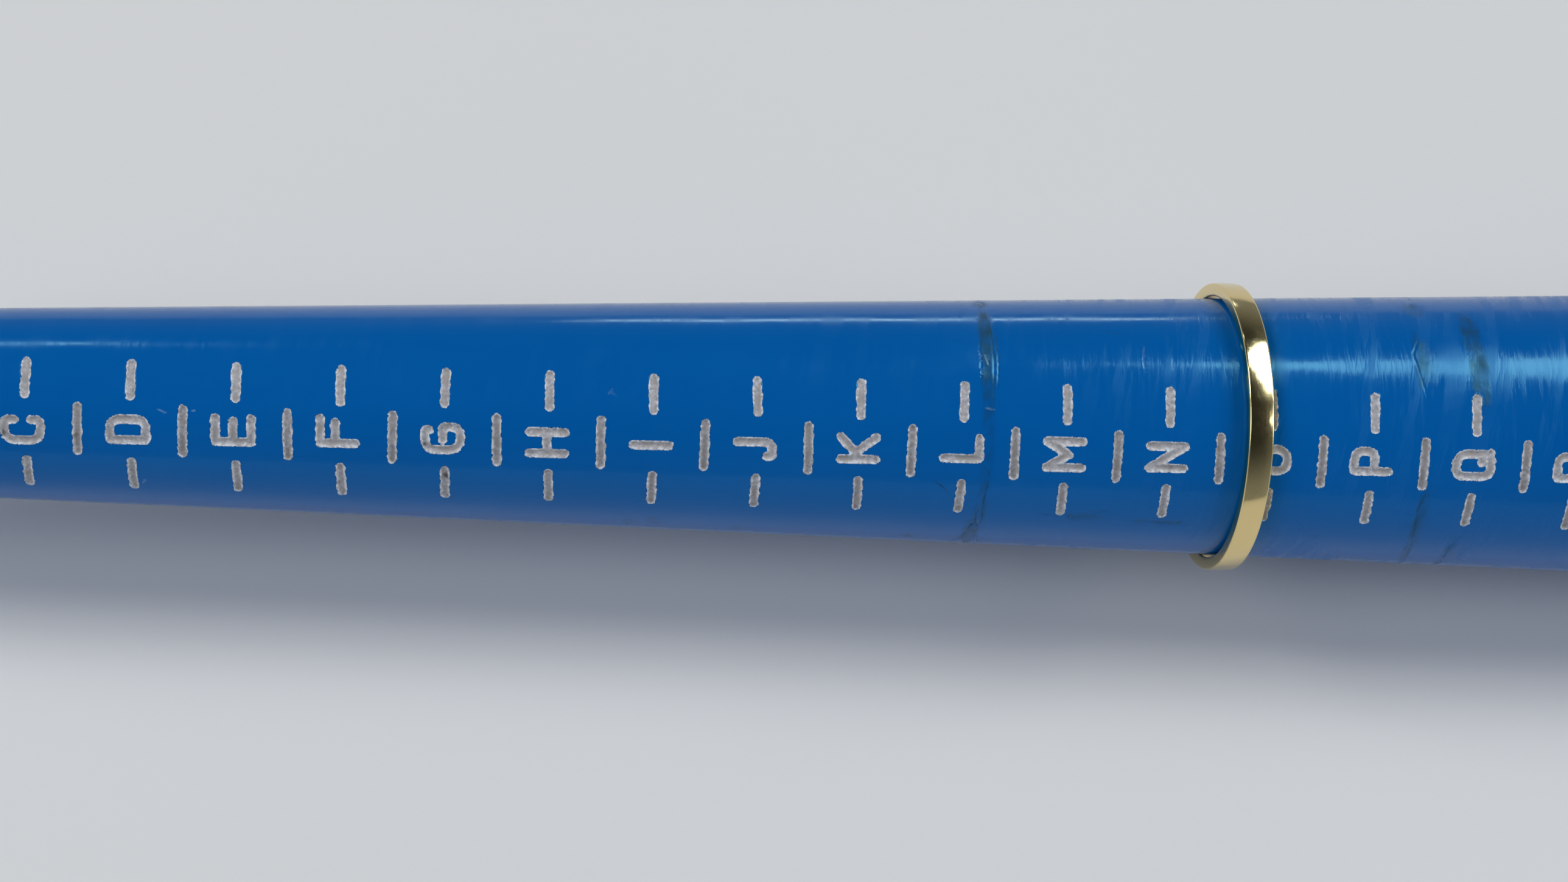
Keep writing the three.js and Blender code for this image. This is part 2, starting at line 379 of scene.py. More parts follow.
def gauge_plastic():
    """Glossy blue plastic: turning marks, scuffs round the stick, and grime where it is worn."""
    n = new_material("gauge_plastic")
    sheet = n.unrolled()
    # Scuffs from rings that were turned on the stick, fewer towards the nose.
    slanted = n.make("ShaderNodeMapping", Vector=sheet, Rotation=(0.0, 0.0, 0.16)).outputs["Vector"]
    streaks = n.ramp(n.noise(sheet, (2300, 150, 1), 5.0, 0.7), 0.50, 0.68)
    panels = n.ramp(n.noise(slanted, (620, 70, 1), 4.0, 0.65), 0.49, 0.56)
    patches = n.ramp(n.noise(sheet, (130, 200, 1)), 0.34, 0.56)
    along = n.make("ShaderNodeSeparateXYZ", Vector=sheet).outputs["X"]
    handled = n.math("MULTIPLY", patches, n.ramp(along, -0.066, -0.045, 0.30, 1.0))
    scuffs = n.math("MULTIPLY", n.math("MAXIMUM", streaks, panels), handled)
    # Grime that clings in flakes.
    grime = n.attribute("grime")
    flaky = n.noise(sheet, (2300, 1300, 1), 5.0, 0.7)
    held = n.ramp(n.math("ADD", flaky, n.math("MULTIPLY", grime, 0.6)), 0.48, 0.74)
    dirty = n.math("MULTIPLY", grime, held)
    flecks = n.ramp(n.noise(sheet, (2600, 2600, 1), 4.0, 0.7), 0.72, 0.79)

    base = n.mix(n.noise(sheet, (60, 90, 1)), colour(0.0006, 0.098, 0.375), colour(0.0010, 0.117, 0.425))
    base = n.stain(base, scuffs, 0.012, (0.10, 0.34, 0.62))
    base = n.stain(base, flecks, 0.14, (0.14, 0.40, 0.66))
    base = n.stain(base, dirty, 0.93, (0.008, 0.034, 0.046))
    base = n.stain(base, n.attribute("chip"), 0.40, (0.30, 0.48, 0.66))

    rough = n.ramp(n.noise(sheet, (260, 300, 1)), 0.3, 0.7, 0.09, 0.16)
    rough = n.math("ADD", rough, n.math("MULTIPLY", scuffs, 0.20))
    rough = n.math("ADD", rough, n.math("MULTIPLY", dirty, 0.30), clamp=True)

    normal = n.bump(n.noise(sheet, (150, 110, 1), 1.0), 0.40, 0.00014)
    normal = n.bump(n.noise(sheet, (2600, 40, 1), 2.0), 0.16, 0.00003, normal)
    normal = n.bump(scuffs, 0.40, 0.000012, normal)
    normal = n.bump(dirty, 0.50, 0.00003, normal)
    return n.finish(Base_Color=base, Roughness=rough, Normal=normal, IOR=1.38, Specular_Tint=REFLECTION_TINT)


def mark_infill():
    """Paint wiped into the engraving: taupe and gritty on the floor, paler where it climbs the edges, partly
    as a painted highlight where the walls catch the light.
    """
    n = new_material("mark_infill")
    spot = n.object_place()
    speckle = n.noise(spot, 4200, 4.0, 0.7)
    floor = n.mix(n.ramp(speckle, 0.34, 0.66), colour(0.30, 0.290, 0.310), colour(0.63, 0.62, 0.66))
    floor = n.mix(n.ramp(n.noise(spot, 900, 2.0), 0.44, 0.66), floor, colour(0.37, 0.345, 0.345))
    # Bright crumbs on the paint's edge: painted glints where its crumbly rim catches the light.
    crumb_glints = n.ramp(n.noise(spot, 4200, 3.0), 0.40, 0.58)
    rim = n.mix(crumb_glints, colour(0.36, 0.385, 0.42), colour(0.77, 0.81, 0.87))
    # The rim attribute mixes in the pale edge colour, partly a painted highlight of the lit groove walls.
    base = n.mix(n.attribute("rim"), floor, rim)
    base = n.mix(n.attribute("dirt"), base, colour(0.040, 0.034, 0.030))
    rough = n.ramp(speckle, 0.3, 0.7, 0.5, 0.8)
    return n.finish(Base_Color=base, Roughness=rough, Normal=n.bump(speckle, 0.7, 0.00005), IOR=1.45)


def grip_plastic():
    """Moulded blue plastic with a fine spark-eroded texture, polished a little where it is held."""
    n = new_material("grip_plastic")
    spot = n.object_place()
    grain = n.make("ShaderNodeTexVoronoi", {"feature": "SMOOTH_F1"}, Vector=spot, Scale=2300.0,
                   Smoothness=0.6).outputs["Distance"]
    handled = n.ramp(n.noise(spot, 28, 2.0), 0.42, 0.66)
    nicks = n.ramp(n.noise(spot, (500, 2600, 900), 3.0, 0.75), 0.70, 0.78)
    base = n.mix(n.noise(spot, 60), colour(0.0028, 0.082, 0.31), colour(0.0040, 0.100, 0.36))
    base = n.stain(base, handled, 0.10, (0.05, 0.16, 0.36))
    base = n.stain(base, nicks, 0.35, (0.20, 0.36, 0.58))
    rough = n.ramp(n.noise(spot, 700), 0.3, 0.7, 0.46, 0.58)
    rough = n.math("SUBTRACT", rough, n.math("MULTIPLY", handled, 0.10))
    normal = n.bump(grain, 0.55, 0.00011)
    normal = n.bump(n.noise(spot, 140, 2.0), 0.25, 0.0001, normal)
    return n.finish(Base_Color=base, Roughness=rough, Normal=normal, IOR=1.5)


def turned_metal(name, light, dark, rough):
    """Metal with the fine rings of a lathe, small scratches and a patchy tarnish."""
    n = new_material(name)
    spot = n.object_place()
    tarnish = n.ramp(n.noise(spot, 240, 4.0, 0.6), 0.35, 0.70)
    scratches = n.ramp(n.noise(spot, (900, 4200, 1300), 3.0, 0.75), 0.66, 0.76)
    patchy = n.ramp(n.noise(spot, 500), 0.3, 0.7, rough - 0.06, rough + 0.08)
    mixed = n.math("ADD", patchy, n.math("MULTIPLY", scratches, 0.12))
    normal = n.bump(n.noise(n.unrolled(), (3200, 18, 1), 2.0, 0.6), 0.20, 0.000008)
    normal = n.bump(scratches, 0.20, 0.00001, normal)
    return n.finish(Base_Color=n.mix(tarnish, light, dark), Metallic=1.0, Roughness=mixed, Normal=normal)


def worn_gold():
    """Polished yellow gold with the fine scratches and soft dents of a ring that has been worn."""
    n = new_material("gold")
    spot = n.object_place()
    fine = n.noise(spot, (5200, 900, 900), 4.0, 0.75)
    scratches = n.ramp(fine, 0.58, 0.72)
    pits = n.ramp(n.noise(spot, 3600, 3.0, 0.7), 0.62, 0.74)
    base = n.mix(n.noise(spot, 350, 2.0), colour(0.76, 0.585, 0.265), colour(0.84, 0.675, 0.345))
    worn = n.math("ADD", n.math("MULTIPLY", scratches, 0.07), n.math("MULTIPLY", pits, 0.10))
    rough = n.math("ADD", n.ramp(n.noise(spot, 900, 3.0), 0.35, 0.65, 0.09, 0.14), worn)
    normal = n.bump(n.noise(spot, 620, 2.0), 0.16, 0.00005)
    normal = n.bump(pits, -0.30, 0.00001, normal)
    normal = n.bump(fine, 0.30, 0.000009, normal)
    return n.finish(Base_Color=base, Metallic=1.0, Roughness=rough, Normal=normal)


def paper():
    """The pale surface that the mandrel lies on."""
    n = new_material("paper")
    spot = n.object_place()
    base = n.mix(n.noise(spot, 14, 2.0), colour(0.735, 0.735, 0.735), colour(0.765, 0.765, 0.765))
    fibres = n.noise(spot, 1800, 4.0, 0.65)
    return n.finish(Base_Color=base, Roughness=0.85, Normal=n.bump(fibres, 0.15, 0.00003))


# Each material slot's finish.
FINISHES = {
    "gauge_plastic": gauge_plastic(),
    "mark_infill": mark_infill(),
    "grip_plastic": grip_plastic(),
    "aluminium": turned_metal("aluminium", colour(0.78, 0.79, 0.80), colour(0.62, 0.63, 0.65), 0.30),
    "steel": turned_metal("steel", colour(0.62, 0.63, 0.64), colour(0.42, 0.41, 0.40), 0.34),
    "brass": turned_metal("brass", colour(0.72, 0.52, 0.24), colour(0.50, 0.34, 0.16), 0.32),
    "gold": worn_gold(),
}


# ---------------------------------------------------------------- the size letters

# Each letter is a list of strokes. A stroke's points are fractions of the letter's width and height,
# from its lower left, and a third number rounds the corner there by that radius in millimetres.
BOWL = 0.52
FONT = {
    "A": (1.5, [[(0, 0), (0.5, 1), (1, 0)], [(0.2, 0.34), (0.8, 0.34)]]),
    "B": (1.4, [[(0, 0.53), (0.9, 0.53, BOWL), (0.9, 1, BOWL), (0, 1), (0, 0), (1, 0, BOWL), (1, 0.53, BOWL),
                 (0, 0.53)]]),
    "C": (1.36, [[(1, 0.74), (1, 1, 0.6), (0, 1, 0.66), (0, 0, 0.66), (1, 0, 0.6), (1, 0.26)]]),
    "D": (1.36, [[(0, 0.5), (0, 1, 0.1), (1, 1, 0.62), (1, 0, 0.62), (0, 0, 0.1), (0, 0.5)]]),
    "E": (1.55, [[(1, 1), (0, 1), (0, 0), (1, 0)], [(0, 0.5), (0.88, 0.5)]]),
    "F": (1.6, [[(1, 1), (0, 1), (0, 0)], [(0, 0.58), (0.86, 0.58)]]),
    "G": (1.52, [[(0.86, 0.88), (0.84, 1, 0.2), (0, 1, 0.7), (0, 0, 0.75), (1, 0, 0.6), (1, 0.5, 0.2),
                  (0.45, 0.5)]]),
    "H": (1.42, [[(0, 0), (0, 1)], [(1, 0), (1, 1)], [(0, 0.5), (1, 0.5)]]),
    "I": (0.0, [[(0, 0), (0, 1)]]),
    "J": (0.95, [[(1, 1), (1, 0, 0.5), (0, 0, 0.3), (0, 0.16)]]),
    "K": (1.47, [[(0, 0), (0, 1)], [(1, 1), (0.2, 0.52)], [(0.32, 0.56), (1, 0)]]),
    "L": (1.36, [[(0, 1), (0, 0), (1, 0)]]),
    "M": (1.75, [[(0, 0), (0, 1), (0.5, 0.38), (1, 1), (1, 0)]]),
    "N": (1.47, [[(0, 0), (0, 1), (1, 0), (1, 1)]]),
    "O": (1.45, [[(0, 0.5), (0, 1, 0.7), (1, 1, 0.7), (1, 0, 0.7), (0, 0, 0.7), (0, 0.5)]]),
    "P": (1.35, [[(0, 0), (0, 1, 0.15), (1, 1, BOWL), (1, 0.42, BOWL), (0, 0.42)]]),
    "Q": (1.5, [[(0, 0.5), (0, 1, 0.7), (1, 1, 0.7), (1, 0, 0.5), (0, 0, 0.7), (0, 0.5)],
                [(0.62, 0.28), (1.06, 0.02)]]),
    "R": (1.45, [[(0, 0), (0, 1, 0.15), (1, 1, BOWL), (1, 0.42, BOWL), (0, 0.42)], [(0.45, 0.42), (1, 0)]]),
    "S": (1.4, [[(1, 0.8), (1, 1, 0.45), (0, 1, 0.5), (0, 0.53, 0.45), (1, 0.53, 0.45), (1, 0, 0.5),
                 (0, 0, 0.45), (0, 0.2)]]),
    "T": (1.5, [[(0, 1), (1, 1)], [(0.5, 1), (0.5, 0)]]),
    "U": (1.4, [[(0, 1), (0, 0, 0.66), (1, 0, 0.66), (1, 1)]]),
    "V": (1.5, [[(0, 1), (0.5, 0), (1, 1)]]),
    "W": (1.9, [[(0, 1), (0.24, 0), (0.5, 0.7), (0.76, 0), (1, 1)]]),
    "X": (1.5, [[(0, 0), (1, 1)], [(0, 1), (1, 0)]]),
    "Y": (1.5, [[(0, 1), (0.5, 0.5), (1, 1)], [(0.5, 0.5), (0.5, 0)]]),
    "Z": (1.45, [[(0, 1), (1, 1), (0, 0), (1, 0)]]),
}


# How far a rounded corner's curve is pulled towards the corner.
CORNER_PULL = 0.86


def rounded(points):
    """A stroke's points in millimetres, with arcs of short steps at its rounded corners."""
    path = []
    for i, (x, y, radius) in enumerate(points):
        here = Vector((x, y))
        if radius == 0 or i in (0, len(points) - 1):
            path.append(here)
            continue
        before = Vector(points[i - 1][:2]) - here
        after = Vector(points[i + 1][:2]) - here
        half_turn = before.angle(after) / 2
        reach = min(radius / math.tan(half_turn), 0.5 * before.length, 0.5 * after.length)
        start = here + before.normalized() * reach
        end = here + after.normalized() * reach
        for step in range(7):
            k = step / 6
            bend = 2 * k * (1 - k)
            path.append((1 - k) ** 2 * start + bend * here * CORNER_PULL
                        + bend * (1 - CORNER_PULL) * (start + end) / 2 + k ** 2 * end)
    return path


def letter_strokes(letter, station):
    """The strokes of one size letter as (station, arc) paths. Its top points to the nose."""
    width, strokes = FONT[letter]
    paths = []
    for stroke in strokes:
        points = [(p[0] * width, p[1] * LETTER_HEIGHT, p[2] if len(p) > 2 else 0) for p in stroke]
        path = []
        for point in rounded(points):
            along = station + LETTER_SHIFT + LETTER_HEIGHT / 2 - point.y
            path.append((along, width / 2 - point.x + LETTER_DROP.get(letter, 0.0)))
        paths.append(path)
    return paths


def tick(station, span):
    """One straight mark round the gauge, a little off true, as the engraver left it."""
    lean = rng.uniform(-TICK_LEAN, TICK_LEAN)
    first, last = [end + rng.uniform(-TICK_SLIP, TICK_SLIP) for end in span]
    return [(station - lean, first), (station + lean, last)]


def marks_of(index):
    """The (kind, path) marks that belong to one size: its letter, its broken line and its half size."""
    station = FIRST_SIZE_AT + index * SIZE_PITCH
    marks = [("size_letters", path) for path in letter_strokes(LETTERS[index], station)]
    marks.append(("size_lines", tick(station, UPPER_TICK)))
    marks.append(("size_lines", tick(station, LOWER_TICK)))
    if index < len(LETTERS) - 1:
        marks.append(("half_size_lines", tick(station + SIZE_PITCH / 2, HALF_TICK)))
    return marks


# ---------------------------------------------------------------- wear on the gauge

# Hairline cracks run round the stick by L, by P and a half and by Q. Each is a jagged path of
# (station, arc, how open it is there), from 0 to 1.
CRACKS = [
    [(85.6, -24, 0.5), (85.2, -20, 0.6), (85.5, -16.5, 0.4), (85.3, -14, 0.5), (85.5, -12.4, 0.4),
     (85.4, -10.4, 0.2), (85.62, -8.7, 0.25), (85.66, -7.5, 0.6), (85.7, -6.4, 0.7), (85.68, -5.6, 0.4),
     (85.6, -4.3, 0.1), (85.56, -3.0, 0.2), (85.6, -1.7, 0.15), (85.6, -0.3, 0.3), (85.5, 0.8, 0.35),
     (85.44, 2.1, 0.6), (85.3, 3.5, 0.8), (85.32, 5.2, 0.7), (85.16, 6.3, 0.3), (85.5, 9.1, 0.5),
     (85.3, 13, 0.4), (85.6, 18, 0.6), (85.35, 23, 0.5)],
    [(84.86, -7.9, 0.35), (84.80, -7.2, 0.5), (84.84, -6.1, 0.35), (84.82, -5.0, 0.3)],
    [(85.98, -8.9, 0.2), (85.94, -7.4, 0.7), (85.99, -6.3, 0.5), (85.92, -4.9, 0.4), (85.8, -3.8, 0.1)],
    [(85.2, 3.9, 0.4), (84.9, 4.7, 0.7), (84.95, 5.5, 0.9), (85.2, 6.4, 0.9), (85.1, 7.6, 0.5)],
    [(85.0, 5.6, 0.3), (84.7, 6.0, 0.8), (84.45, 7.2, 0.6), (83.75, 9.1, 0.5), (83.5, 10.6, 0.2)],
    [(114.3, -26, 0.4), (114.6, -18, 0.5), (114.5, -12.4, 0.2), (113.95, -9.6, 0.15), (113.8, -8.6, 0.35),
     (113.3, -7.5, 0.45), (113.6, -5.9, 0.3), (113.95, -4.2, 0.12), (113.75, -2.3, 0.15), (114.1, 2.2, 0.4),
     (113.85, 3.2, 0.60), (114.0, 5.8, 0.55), (114.5, 9.6, 0.60), (114.2, 15, 0.5), (114.6, 22, 0.4)],
    [(117.3, 5.0, 0.1), (116.75, 7.0, 0.55), (116.95, 10.2, 0.5), (116.6, 12.5, 0.2)],
]
# Shallow scratches that dirt has filled.
SCRATCHES = [
    [(82.0, 2.1, 0.7), (82.5, 2.5, 0.9), (83.1, 3.15, 0.4)],
    [(89.0, 4.5, 0.2), (89.7, 4.7, 0.7), (90.4, 4.62, 0.3)],
    [(93.9, 4.1, 0.3), (93.0, 4.3, 0.6), (92.2, 4.25, 0.2)],
    [(98.6, 5.0, 0.3), (97.3, 5.1, 0.8), (96.2, 5.0, 0.5), (94.8, 5.05, 0.2)],
    [(91.9, 4.6, 0.2), (90.9, 4.75, 0.5), (90.1, 4.7, 0.2)],
    [(93.0, -8.9, 0.3), (93.9, -8.7, 0.6), (94.7, -8.75, 0.2)],
    [(63.6, 4.9, 0.2), (63.4, 6.2, 0.4), (63.5, 8.0, 0.2)],
    [(60.6, 5.2, 0.1), (60.5, 7.4, 0.35), (60.6, 9.0, 0.2)],
    [(52.0, 7.9, 0.2), (53.2, 8.3, 0.6), (54.1, 8.1, 0.3)],
]
# Bright nicks, too shallow to hold dirt.
NICKS = [
    [(30.9, 3.8, 1), (30.6, 4.1, 0.5)],
    [(32.4, -1.2, 1), (31.9, -1.4, 0.5)],
    [(34.2, -1.4, 1), (33.9, -1.3, 1)],
    [(60.9, -3.5, 0.3), (60.7, -3.2, 0.3)],
    [(84.75, -6.9, 1), (84.85, -6.2, 1)],
    [(85.1, -6.6, 1), (85.3, -5.9, 1)],
    [(84.8, -5.5, 1), (84.9, -5.2, 1)],
    [(85.1, -2.9, 0.5), (85.6, -2.85, 1)],
    [(95.6, -7.6, 0.2), (95.45, -6.5, 0.6), (95.5, -5.6, 0.1)],
    [(97.4, -6.9, 0.1), (97.35, -5.9, 0.5)],
]
# Grime that has spread: (station, arc, half length along, half height round, strength).
SMEARS = [
    (85.28, -8.0, 0.46, 3.4, 0.85),
    (85.28, -4.6, 0.46, 2.6, 0.60),
    (85.25, -0.5, 0.46, 3.5, 0.34),
    (85.15, 4.6, 0.40, 2.6, 0.34),
    (84.75, 7.6, 0.55, 2.4, 0.60),
    (117.4, -9.2, 0.60, 2.4, 0.62),
    (117.6, -6.2, 0.65, 2.6, 0.74),
    (113.7, -7.2, 0.35, 2.2, 0.62),
    (114.2, -12.2, 0.70, 1.1, 0.45),
    (114.1, 5.6, 0.34, 4.4, 0.52),
    (116.9, 8.4, 0.40, 2.6, 0.42),
    (85.3, -12.6, 0.50, 0.9, 0.60),
    (62.2, 7.4, 0.50, 0.8, 0.35),
    (63.7, 6.9, 0.30, 0.6, 0.45),
    (69.4, 7.7, 0.35, 0.5, 0.40),
    (80.6, 8.2, 0.55, 0.4, 0.50),
    (92.0, 4.7, 1.50, 0.30, 0.44),
    (97.0, 5.1, 1.60, 0.30, 0.52),
]


# ---------------------------------------------------------------- the engraved gauge

# Rings of points on both sides of a stroke: distance from its centre line, depth of the engraving,
# height of the paint (None past its edge), how far the ragged edge moves the ring, and how pale it is.
# The paleness on the edges is partly a painted highlight where the groove walls catch the light.
MARK_RINGS = [
    (0.00, -0.210, -0.130, 0.000, 0.0),
    (0.09, -0.210, -0.122, 0.020, 0.0),
    (0.16, -0.170, -0.085, 0.030, 0.12),
    (0.215, -0.080, -0.020, 0.040, 0.70),
    (0.265, 0.000, 0.028, 0.060, 1.0),
    (0.315, 0.018, 0.026, 0.085, 1.0),
    (0.37, 0.008, None, 0.030, 0.0),
    (0.47, 0.000, None, 0.000, 0.0),
]
PAINT_EDGE = 5
# How much dirt the paint of each kind of mark holds all over.
ENGRAINED = {"size_letters": 0.03, "size_lines": 0.08, "half_size_lines": 0.28}

# The rings of cracks, scratches and nicks: distance, depth and grime where they are fully open.
CRACK_RINGS = [(0.0, -0.080, 1.0), (0.045, -0.040, 0.8), (0.10, 0.010, 0.25), (0.17, 0.0, 0.0)]
SCRATCH_RINGS = [(0.0, -0.035, 0.9), (0.045, -0.010, 0.5), (0.10, 0.0, 0.0)]
NICK_RINGS = [(0.0, -0.030, 0.0), (0.045, 0.012, 0.0), (0.09, 0.0, 0.0)]
WEAR_RAGGED = 0.05
# Each kind of wear, with how bright the broken plastic in it is.
WEAR = [(CRACKS, CRACK_RINGS, 0.0), (SCRATCHES, SCRATCH_RINGS, 0.0), (NICKS, NICK_RINGS, 1.0)]

# The plain grid keeps this far from the centre lines of marks and wear.
MARK_REACH = 0.57
WEAR_REACH = 0.23
# The least distance between points on the rings, on spread grime and on the plain grid.
RING_GAP = 0.04
SMEAR_GAP = 0.12
GRID_GAP = 0.16


def segments_of(paths):
    """Every straight piece of some paths, as two arrays of ends."""
    pairs = [(a[:2], b[:2]) for path in paths for a, b in zip(path, path[1:])]
    return np.array([p[0] for p in pairs]), np.array([p[1] for p in pairs])


def distances(points, segments):
    """Each point's distance from the nearest segment."""
    starts, ends = segments
    if len(starts) == 0 or len(points) == 0:
        return np.full(len(points), 1e9)
    points = np.asarray(points)[:, None, :]
    runs = ends - starts
    lengths = np.maximum((runs ** 2).sum(1), 1e-12)
    k = (((points - starts) * runs).sum(2) / lengths).clip(0, 1)
    nearest = starts + k[:, :, None] * runs
    return np.sqrt(((points - nearest) ** 2).sum(2)).min(1)


def ragged(station, around, seed):
    """A number from -1 to 1 that changes over a few tenths of a millimetre."""
    return noise.noise(Vector((station * 4.3, around * 4.3, seed)))


def line_angle(i):
    """The angle of one of the plain skin's lines along the gauge."""
    return -math.pi + 2 * math.pi * i / AROUND


def ring_points(path, radius, step):
    """Points at one distance from a path, on both sides of it and round its ends and corners."""
    points = []
    for a, b in zip(path, path[1:]):
        start, run = Vector(a[:2]), Vector(b[:2]) - Vector(a[:2])
        across = Vector((-run.y, run.x)).normalized() * radius
        count = max(1, round(run.length / step))
        for i in range(count + 1):
            spot = start + run * (i / count)
            points += [spot] if radius == 0 else [spot + across, spot - across]
    if radius > 0:
        count = max(8, round(2 * math.pi * radius / step))
        for spot in path:
            for i in range(count):
                turn = 2 * math.pi * i / count
                points.append(Vector(spot[:2]) + Vector((math.cos(turn), math.sin(turn))) * radius)
    return points


def outline_rings(paths, rings, wobbles, own, keep_off=None):
    """Each (level, point) of the rings round some paths, with a ragged edge, leaving out what falls
    inside another stroke's ring or near the lines to keep off."""
    for level, ring in enumerate(rings):
        for path in paths:
            points = ring_points(path, ring[0], POINT_STEP)
            clear = distances(points, own) >= ring[0] - 0.012
            if keep_off is not None:
                clear &= distances(points, keep_off) >= MARK_REACH
            for point, kept in zip(points, clear):
                if kept:
                    shift = wobbles[level] * ragged(point.x, point.y, level * 0.35)
                    yield level, point + Vector((shift, ragged(point.y, point.x, 9) * abs(shift)))


def openness(point, paths):
    """How open the nearest crack or scratch is at a place, from 0 to 1."""
    best, value = 1e9, 0.0
    for path in paths:
        for a, b in zip(path, path[1:]):
            start, run = Vector(a[:2]), Vector(b[:2]) - Vector(a[:2])
            k = min(max((point - start).dot(run) / run.length_squared, 0.0), 1.0)
            away = (start + run * k - point).length
            if away < best:
                best, value = away, a[2] + (b[2] - a[2]) * k
    return value * (0.8 + 0.5 * ragged(point.x * 0.6, point.y * 0.6, 17))


def smear_at(station, around):
    """How much spread grime there is at a place, from 0 to 1."""
    total = 0.0
    for along, arc_at, half_length, half_height, strength in SMEARS:
        reach = math.hypot((station - along) / half_length, (around - arc_at) / half_height)
        if reach < 1.25:
            patchy = 0.75 + 0.55 * noise.noise(Vector((station * 2.4, around * 1.1, 3.0)))
            total = max(total, strength * patchy * min(1.0, (1.25 - reach) / 0.45))
    return min(max(total, 0.0), 1.0)


class Cell:
    """A short length of the gauge's skin, unrolled, as points that are to be joined into triangles.
    No point is closer to another than the gap it was added with."""

    BIN = 0.1

    def __init__(self, start, end, marks):
        self.start = start
        self.end = end
        self.points = []
        self.facts = []
        self.bins = {}
        self.mark_lines = segments_of([path for _, path in marks])
        self.add_border()
        self.add_marks(marks)
        self.wear_lines = self.add_wear()
        self.add_smears()
        self.add_grid()

    def add(self, point, gap, **facts):
        column, row = int(point[0] // self.BIN), int(point[1] // self.BIN)
        reach = int(gap // self.BIN) + 1
        for i in range(column - reach, column + reach + 1):
            for j in range(row - reach, row + reach + 1):
                for other in self.bins.get((i, j), ()):
                    if math.dist(point, self.points[other]) < gap:
                        return
        self.bins.setdefault((column, row), []).append(len(self.points))
        self.points.append((point[0], point[1]))
        self.facts.append(facts)

    def inner_stations(self):
        return [self.start + (self.end - self.start) * i / CELL_LINES for i in range(1, CELL_LINES)]

    def clear(self, points):
        """Which points are well off the marks and the wear."""
        off_marks = distances(points, self.mark_lines) > MARK_REACH
        return off_marks & (distances(points, self.wear_lines) > WEAR_REACH)

    def add_border(self):
        """The fixed points that the cell has in common with its neighbours, and with itself at the seam."""
        border = [(station, line_angle(i)) for i in range(AROUND + 1) for station in (self.start, self.end)]
        border += [(station, angle) for station in self.inner_stations() for angle in (-math.pi, math.pi)]
        for station, angle in border:
            self.add((station, angle * radius_at(station)), 0.0, angle=angle)

    def add_marks(self, marks):
        wobbles = [ring[3] for ring in MARK_RINGS]
        for kind in ENGRAINED:
            paths = [path for name, path in marks if name == kind]
            for level, point in outline_rings(paths, MARK_RINGS, wobbles, self.mark_lines):
                self.add(point, RING_GAP, level=level, kind=kind)

    def add_wear(self):
        """Adds the cracks, scratches and nicks that start in the cell, and returns their segments."""
        wear = []
        for paths, rings, bright in WEAR:
            here = [p for p in paths if self.start < p[0][0] < self.end]
            wear += here
            wobbles = [WEAR_RAGGED] * len(rings)
            for level, point in outline_rings(here, rings, wobbles, segments_of(here), self.mark_lines):
                opened = openness(point, here)
                _, depth, grime = rings[level]
                self.add(point, RING_GAP, depth=depth * opened, grime=grime * opened,
                         chip=bright * opened if level < 2 else 0)
        return segments_of(wear)

    def add_smears(self):
        """Scattered points under the grime that has spread, for its flaking surface."""
        for along, arc_at, half_length, half_height, _ in SMEARS:
            if not self.start < along < self.end:
                continue
            for i in range(int(2.4 * half_length / SMEAR_STEP)):
                for j in range(int(2.4 * half_height / SMEAR_STEP)):
                    station = along - 1.2 * half_length + SMEAR_STEP * i + rng.uniform(-0.06, 0.06)
                    around = arc_at - 1.2 * half_height + SMEAR_STEP * j + rng.uniform(-0.06, 0.06)
                    inside = self.start + 0.15 < station < self.end - 0.15
                    if inside and self.clear([(station, around)])[0]:
                        self.add((station, around), SMEAR_GAP, smeared=True)

    def add_grid(self):
        """An even grid over the rest, up to the points on the seam."""
        half_round = math.pi * radius_at(self.start) - 0.6
        grid = [(station, line_angle(j) * radius_at(station))
                for station in self.inner_stations() for j in range(1, AROUND)]
        for point, kept in zip(grid, self.clear(grid)):
            if kept and abs(point[1]) < half_round:
                self.add(point, GRID_GAP)


